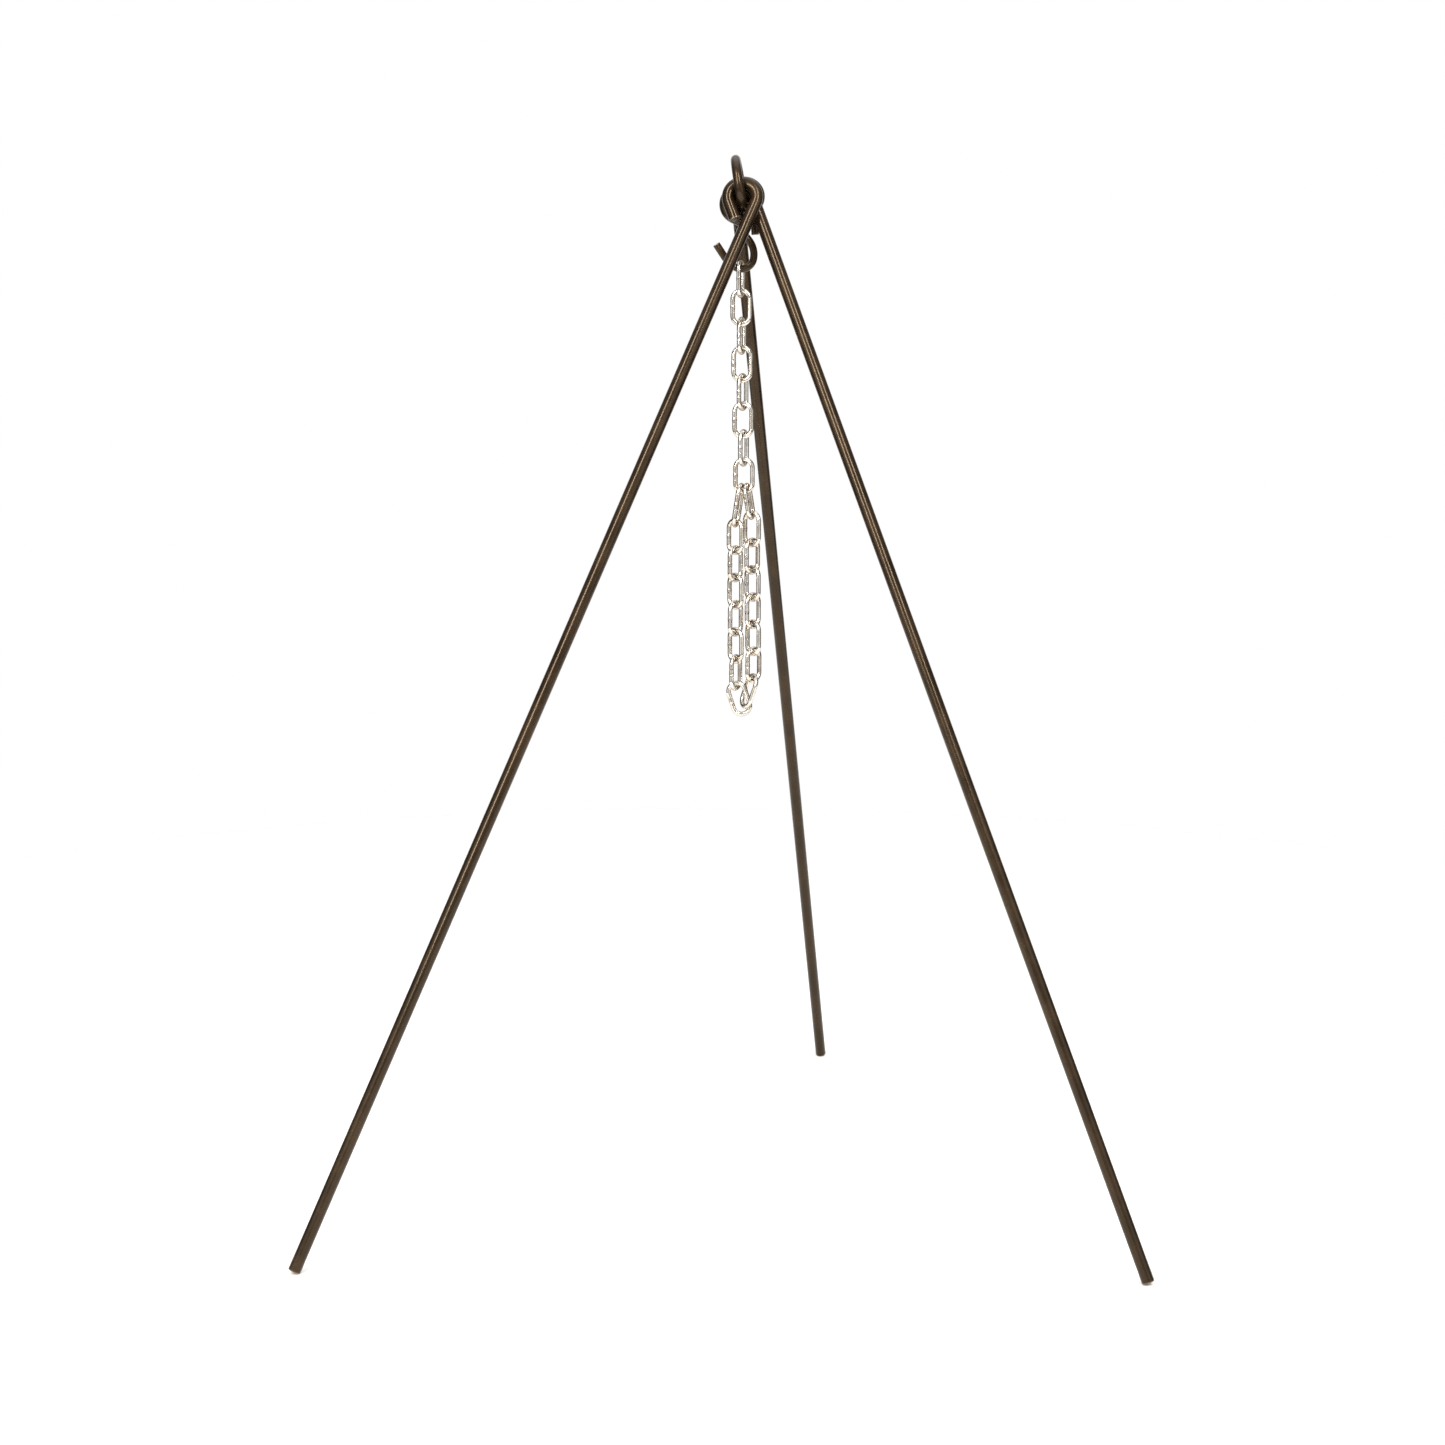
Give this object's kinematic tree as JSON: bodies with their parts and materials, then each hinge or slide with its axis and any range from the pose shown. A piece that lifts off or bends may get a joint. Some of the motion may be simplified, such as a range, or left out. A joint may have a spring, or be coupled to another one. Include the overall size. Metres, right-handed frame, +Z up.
{
  "type": "campfire cooking tripod",
  "caption": "Bent-rod legs whose eyes hang on a welded ring, with an S-hook and a link chain that ends in a long loop, for hanging a pot over a fire.",
  "frame": {"origin": "centre of the bounding box base, on the ground plane between the three feet", "axes": "+Z up along the hanging chain, +X to the right foot as seen from the front, +Y to the rear leg"},
  "size_m": [0.8342, 0.7202, 1.0729],
  "materials": {
    "dark_painted_steel": "satin, worn",
    "zinc_plated_steel": "bright zinc plate"
  },
  "bodies": {
    "ring": {"ring": "dark_painted_steel"},
    "left_leg": {"left_leg": "dark_painted_steel"},
    "right_leg": {"right_leg": "dark_painted_steel"},
    "rear_leg": {"rear_leg": "dark_painted_steel"},
    "s_hook": {"s_hook": "dark_painted_steel"},
    "chain_link_1": {"chain_link_1": "zinc_plated_steel"},
    "chain_link_2": {"chain_link_2": "zinc_plated_steel"},
    "chain_link_3": {"chain_link_3": "zinc_plated_steel"},
    "chain_link_4": {"chain_link_4": "zinc_plated_steel"},
    "chain_link_5": {"chain_link_5": "zinc_plated_steel"},
    "chain_link_6": {"chain_link_6": "zinc_plated_steel"},
    "chain_link_7": {"chain_link_7": "zinc_plated_steel"},
    "chain_link_8": {"chain_link_8": "zinc_plated_steel"},
    "right_strand_link_1": {"right_strand_link_1": "zinc_plated_steel"},
    "right_strand_link_2": {"right_strand_link_2": "zinc_plated_steel"},
    "right_strand_link_3": {"right_strand_link_3": "zinc_plated_steel"},
    "right_strand_link_4": {"right_strand_link_4": "zinc_plated_steel"},
    "right_strand_link_5": {"right_strand_link_5": "zinc_plated_steel"},
    "right_strand_link_6": {"right_strand_link_6": "zinc_plated_steel"},
    "right_strand_link_7": {"right_strand_link_7": "zinc_plated_steel"},
    "right_strand_link_8": {"right_strand_link_8": "zinc_plated_steel"},
    "left_strand_link_1": {"left_strand_link_1": "zinc_plated_steel"},
    "left_strand_link_2": {"left_strand_link_2": "zinc_plated_steel"},
    "left_strand_link_3": {"left_strand_link_3": "zinc_plated_steel"},
    "left_strand_link_4": {"left_strand_link_4": "zinc_plated_steel"},
    "left_strand_link_5": {"left_strand_link_5": "zinc_plated_steel"},
    "left_strand_link_6": {"left_strand_link_6": "zinc_plated_steel"},
    "left_strand_link_7": {"left_strand_link_7": "zinc_plated_steel"},
    "left_strand_link_8": {"left_strand_link_8": "zinc_plated_steel"}
  },
  "joints": [
    {"name": "left_leg_fold", "type": "hinge", "parent": "ring", "child": "left_leg", "pos_m": [0.01538, -0.12488, 1.02574], "axis": [-0.0819, -0.9677, 0.2383], "range_deg": [0, 23]},
    {"name": "right_leg_fold", "type": "hinge", "parent": "ring", "child": "right_leg", "pos_m": [0.01646, -0.11153, 1.0217], "axis": [0.1338, 0.9745, -0.18], "range_deg": [0, 18]},
    {"name": "rear_leg_fold", "type": "hinge", "parent": "ring", "child": "rear_leg", "pos_m": [0.01698, -0.10244, 1.04145], "axis": [-0.9752, 0.2212, 0], "range_deg": [0, 7]},
    {"name": "s_hook_swing", "type": "hinge", "parent": "ring", "child": "s_hook", "pos_m": [0.01958, -0.10022, 1.02225], "axis": [-0.0906, 0.9959, 0], "range_deg": [-12, 12]},
    {"name": "chain_joint_1", "type": "hinge", "parent": "s_hook", "child": "chain_link_1", "pos_m": [0.0162, -0.10053, 0.9625], "axis": [0.9959, 0.0906, 0], "range_deg": [-20, 20]},
    {"name": "chain_joint_2", "type": "hinge", "parent": "chain_link_1", "child": "chain_link_2", "pos_m": [0.0163, -0.10053, 0.9359], "axis": [0.2419, 0.9703, 0], "range_deg": [-20, 20]},
    {"name": "chain_joint_3", "type": "hinge", "parent": "chain_link_2", "child": "chain_link_3", "pos_m": [0.01688, -0.10053, 0.9079], "axis": [-1, 0, 0], "range_deg": [-30, 30]},
    {"name": "chain_joint_4", "type": "hinge", "parent": "chain_link_3", "child": "chain_link_4", "pos_m": [0.01746, -0.10053, 0.8799], "axis": [-0.2924, -0.9563, 0], "range_deg": [-30, 30]},
    {"name": "chain_joint_5", "type": "hinge", "parent": "chain_link_4", "child": "chain_link_5", "pos_m": [0.01804, -0.10053, 0.8519], "axis": [1, 0, 0], "range_deg": [-25, 25]},
    {"name": "chain_joint_6", "type": "hinge", "parent": "chain_link_5", "child": "chain_link_6", "pos_m": [0.01862, -0.10053, 0.8239], "axis": [0.4226, 0.9063, 0], "range_deg": [-25, 25]},
    {"name": "chain_joint_7", "type": "hinge", "parent": "chain_link_6", "child": "chain_link_7", "pos_m": [0.0192, -0.10053, 0.7959], "axis": [-1, 0, 0], "range_deg": [-25, 25]},
    {"name": "chain_joint_8", "type": "hinge", "parent": "chain_link_7", "child": "chain_link_8", "pos_m": [0.01978, -0.10053, 0.7679], "axis": [-0.3746, -0.9272, 0], "range_deg": [-25, 25]},
    {"name": "right_strand_joint_1", "type": "hinge", "parent": "chain_link_8", "child": "right_strand_link_1", "pos_m": [0.02036, -0.10053, 0.7429], "axis": [1, 0, 0], "range_deg": [-25, 25]},
    {"name": "left_strand_joint_1", "type": "hinge", "parent": "chain_link_8", "child": "left_strand_link_1", "pos_m": [0.02036, -0.10053, 0.7429], "axis": [1, 0, 0], "range_deg": [-25, 25]},
    {"name": "right_strand_joint_2", "type": "hinge", "parent": "right_strand_link_1", "child": "right_strand_link_2", "pos_m": [0.0282, -0.10053, 0.71931], "axis": [-0.9025, 0, -0.4307], "range_deg": [-15, 5]},
    {"name": "left_strand_joint_2", "type": "hinge", "parent": "left_strand_link_1", "child": "left_strand_link_2", "pos_m": [0.01155, -0.10053, 0.71137], "axis": [-0.9025, 0, -0.4307], "range_deg": [-15, 5]},
    {"name": "right_strand_joint_3", "type": "hinge", "parent": "right_strand_link_2", "child": "right_strand_link_3", "pos_m": [0.02865, -0.10053, 0.68871], "axis": [0.9049, 0, 0.4255], "range_deg": [-10, 18]},
    {"name": "left_strand_joint_3", "type": "hinge", "parent": "left_strand_link_2", "child": "left_strand_link_3", "pos_m": [0.01175, -0.10053, 0.68077], "axis": [0.9049, 0, 0.4255], "range_deg": [-10, 18]},
    {"name": "right_strand_joint_4", "type": "hinge", "parent": "right_strand_link_3", "child": "right_strand_link_4", "pos_m": [0.02909, -0.10053, 0.66071], "axis": [-0.9073, 0, -0.4204], "range_deg": [-18, 16]},
    {"name": "left_strand_joint_4", "type": "hinge", "parent": "left_strand_link_3", "child": "left_strand_link_4", "pos_m": [0.01195, -0.10053, 0.65277], "axis": [-0.9073, 0, -0.4204], "range_deg": [-18, 16]},
    {"name": "right_strand_joint_5", "type": "hinge", "parent": "right_strand_link_4", "child": "right_strand_link_5", "pos_m": [0.02954, -0.10053, 0.63271], "axis": [0.9096, 0, 0.4154], "range_deg": [-15, 16]},
    {"name": "left_strand_joint_5", "type": "hinge", "parent": "left_strand_link_4", "child": "left_strand_link_5", "pos_m": [0.01215, -0.10053, 0.62477], "axis": [0.9096, 0, 0.4154], "range_deg": [-15, 16]},
    {"name": "right_strand_joint_6", "type": "hinge", "parent": "right_strand_link_5", "child": "right_strand_link_6", "pos_m": [0.03, -0.10053, 0.60471], "axis": [-0.9118, 0, -0.4105], "range_deg": [-18, 16]},
    {"name": "left_strand_joint_6", "type": "hinge", "parent": "left_strand_link_5", "child": "left_strand_link_6", "pos_m": [0.01235, -0.10053, 0.59677], "axis": [-0.9118, 0, -0.4105], "range_deg": [-18, 16]},
    {"name": "right_strand_joint_7", "type": "hinge", "parent": "right_strand_link_6", "child": "right_strand_link_7", "pos_m": [0.03044, -0.10053, 0.57671], "axis": [0.914, 0, 0.4058], "range_deg": [-18, 12]},
    {"name": "left_strand_joint_7", "type": "hinge", "parent": "left_strand_link_6", "child": "left_strand_link_7", "pos_m": [0.01255, -0.10053, 0.56877], "axis": [0.914, 0, 0.4058], "range_deg": [-18, 12]},
    {"name": "right_strand_joint_8", "type": "hinge", "parent": "right_strand_link_7", "child": "right_strand_link_8", "pos_m": [0.03089, -0.10053, 0.55131], "axis": [-0.916, 0, -0.4011], "range_deg": [-14, 10]},
    {"name": "left_strand_joint_8", "type": "hinge", "parent": "left_strand_link_7", "child": "left_strand_link_8", "pos_m": [0.01275, -0.10053, 0.54337], "axis": [-0.916, 0, -0.4011], "range_deg": [-14, 10]}
  ],
  "couplings": [
    {"joint": "left_strand_joint_1", "follows": "right_strand_joint_1", "ratio": 1},
    {"joint": "left_strand_joint_2", "follows": "right_strand_joint_2", "ratio": 1},
    {"joint": "left_strand_joint_3", "follows": "right_strand_joint_3", "ratio": 1},
    {"joint": "left_strand_joint_4", "follows": "right_strand_joint_4", "ratio": 1},
    {"joint": "left_strand_joint_5", "follows": "right_strand_joint_5", "ratio": 1},
    {"joint": "left_strand_joint_6", "follows": "right_strand_joint_6", "ratio": 1},
    {"joint": "left_strand_joint_7", "follows": "right_strand_joint_7", "ratio": 1},
    {"joint": "left_strand_joint_8", "follows": "right_strand_joint_8", "ratio": 1}
  ]
}
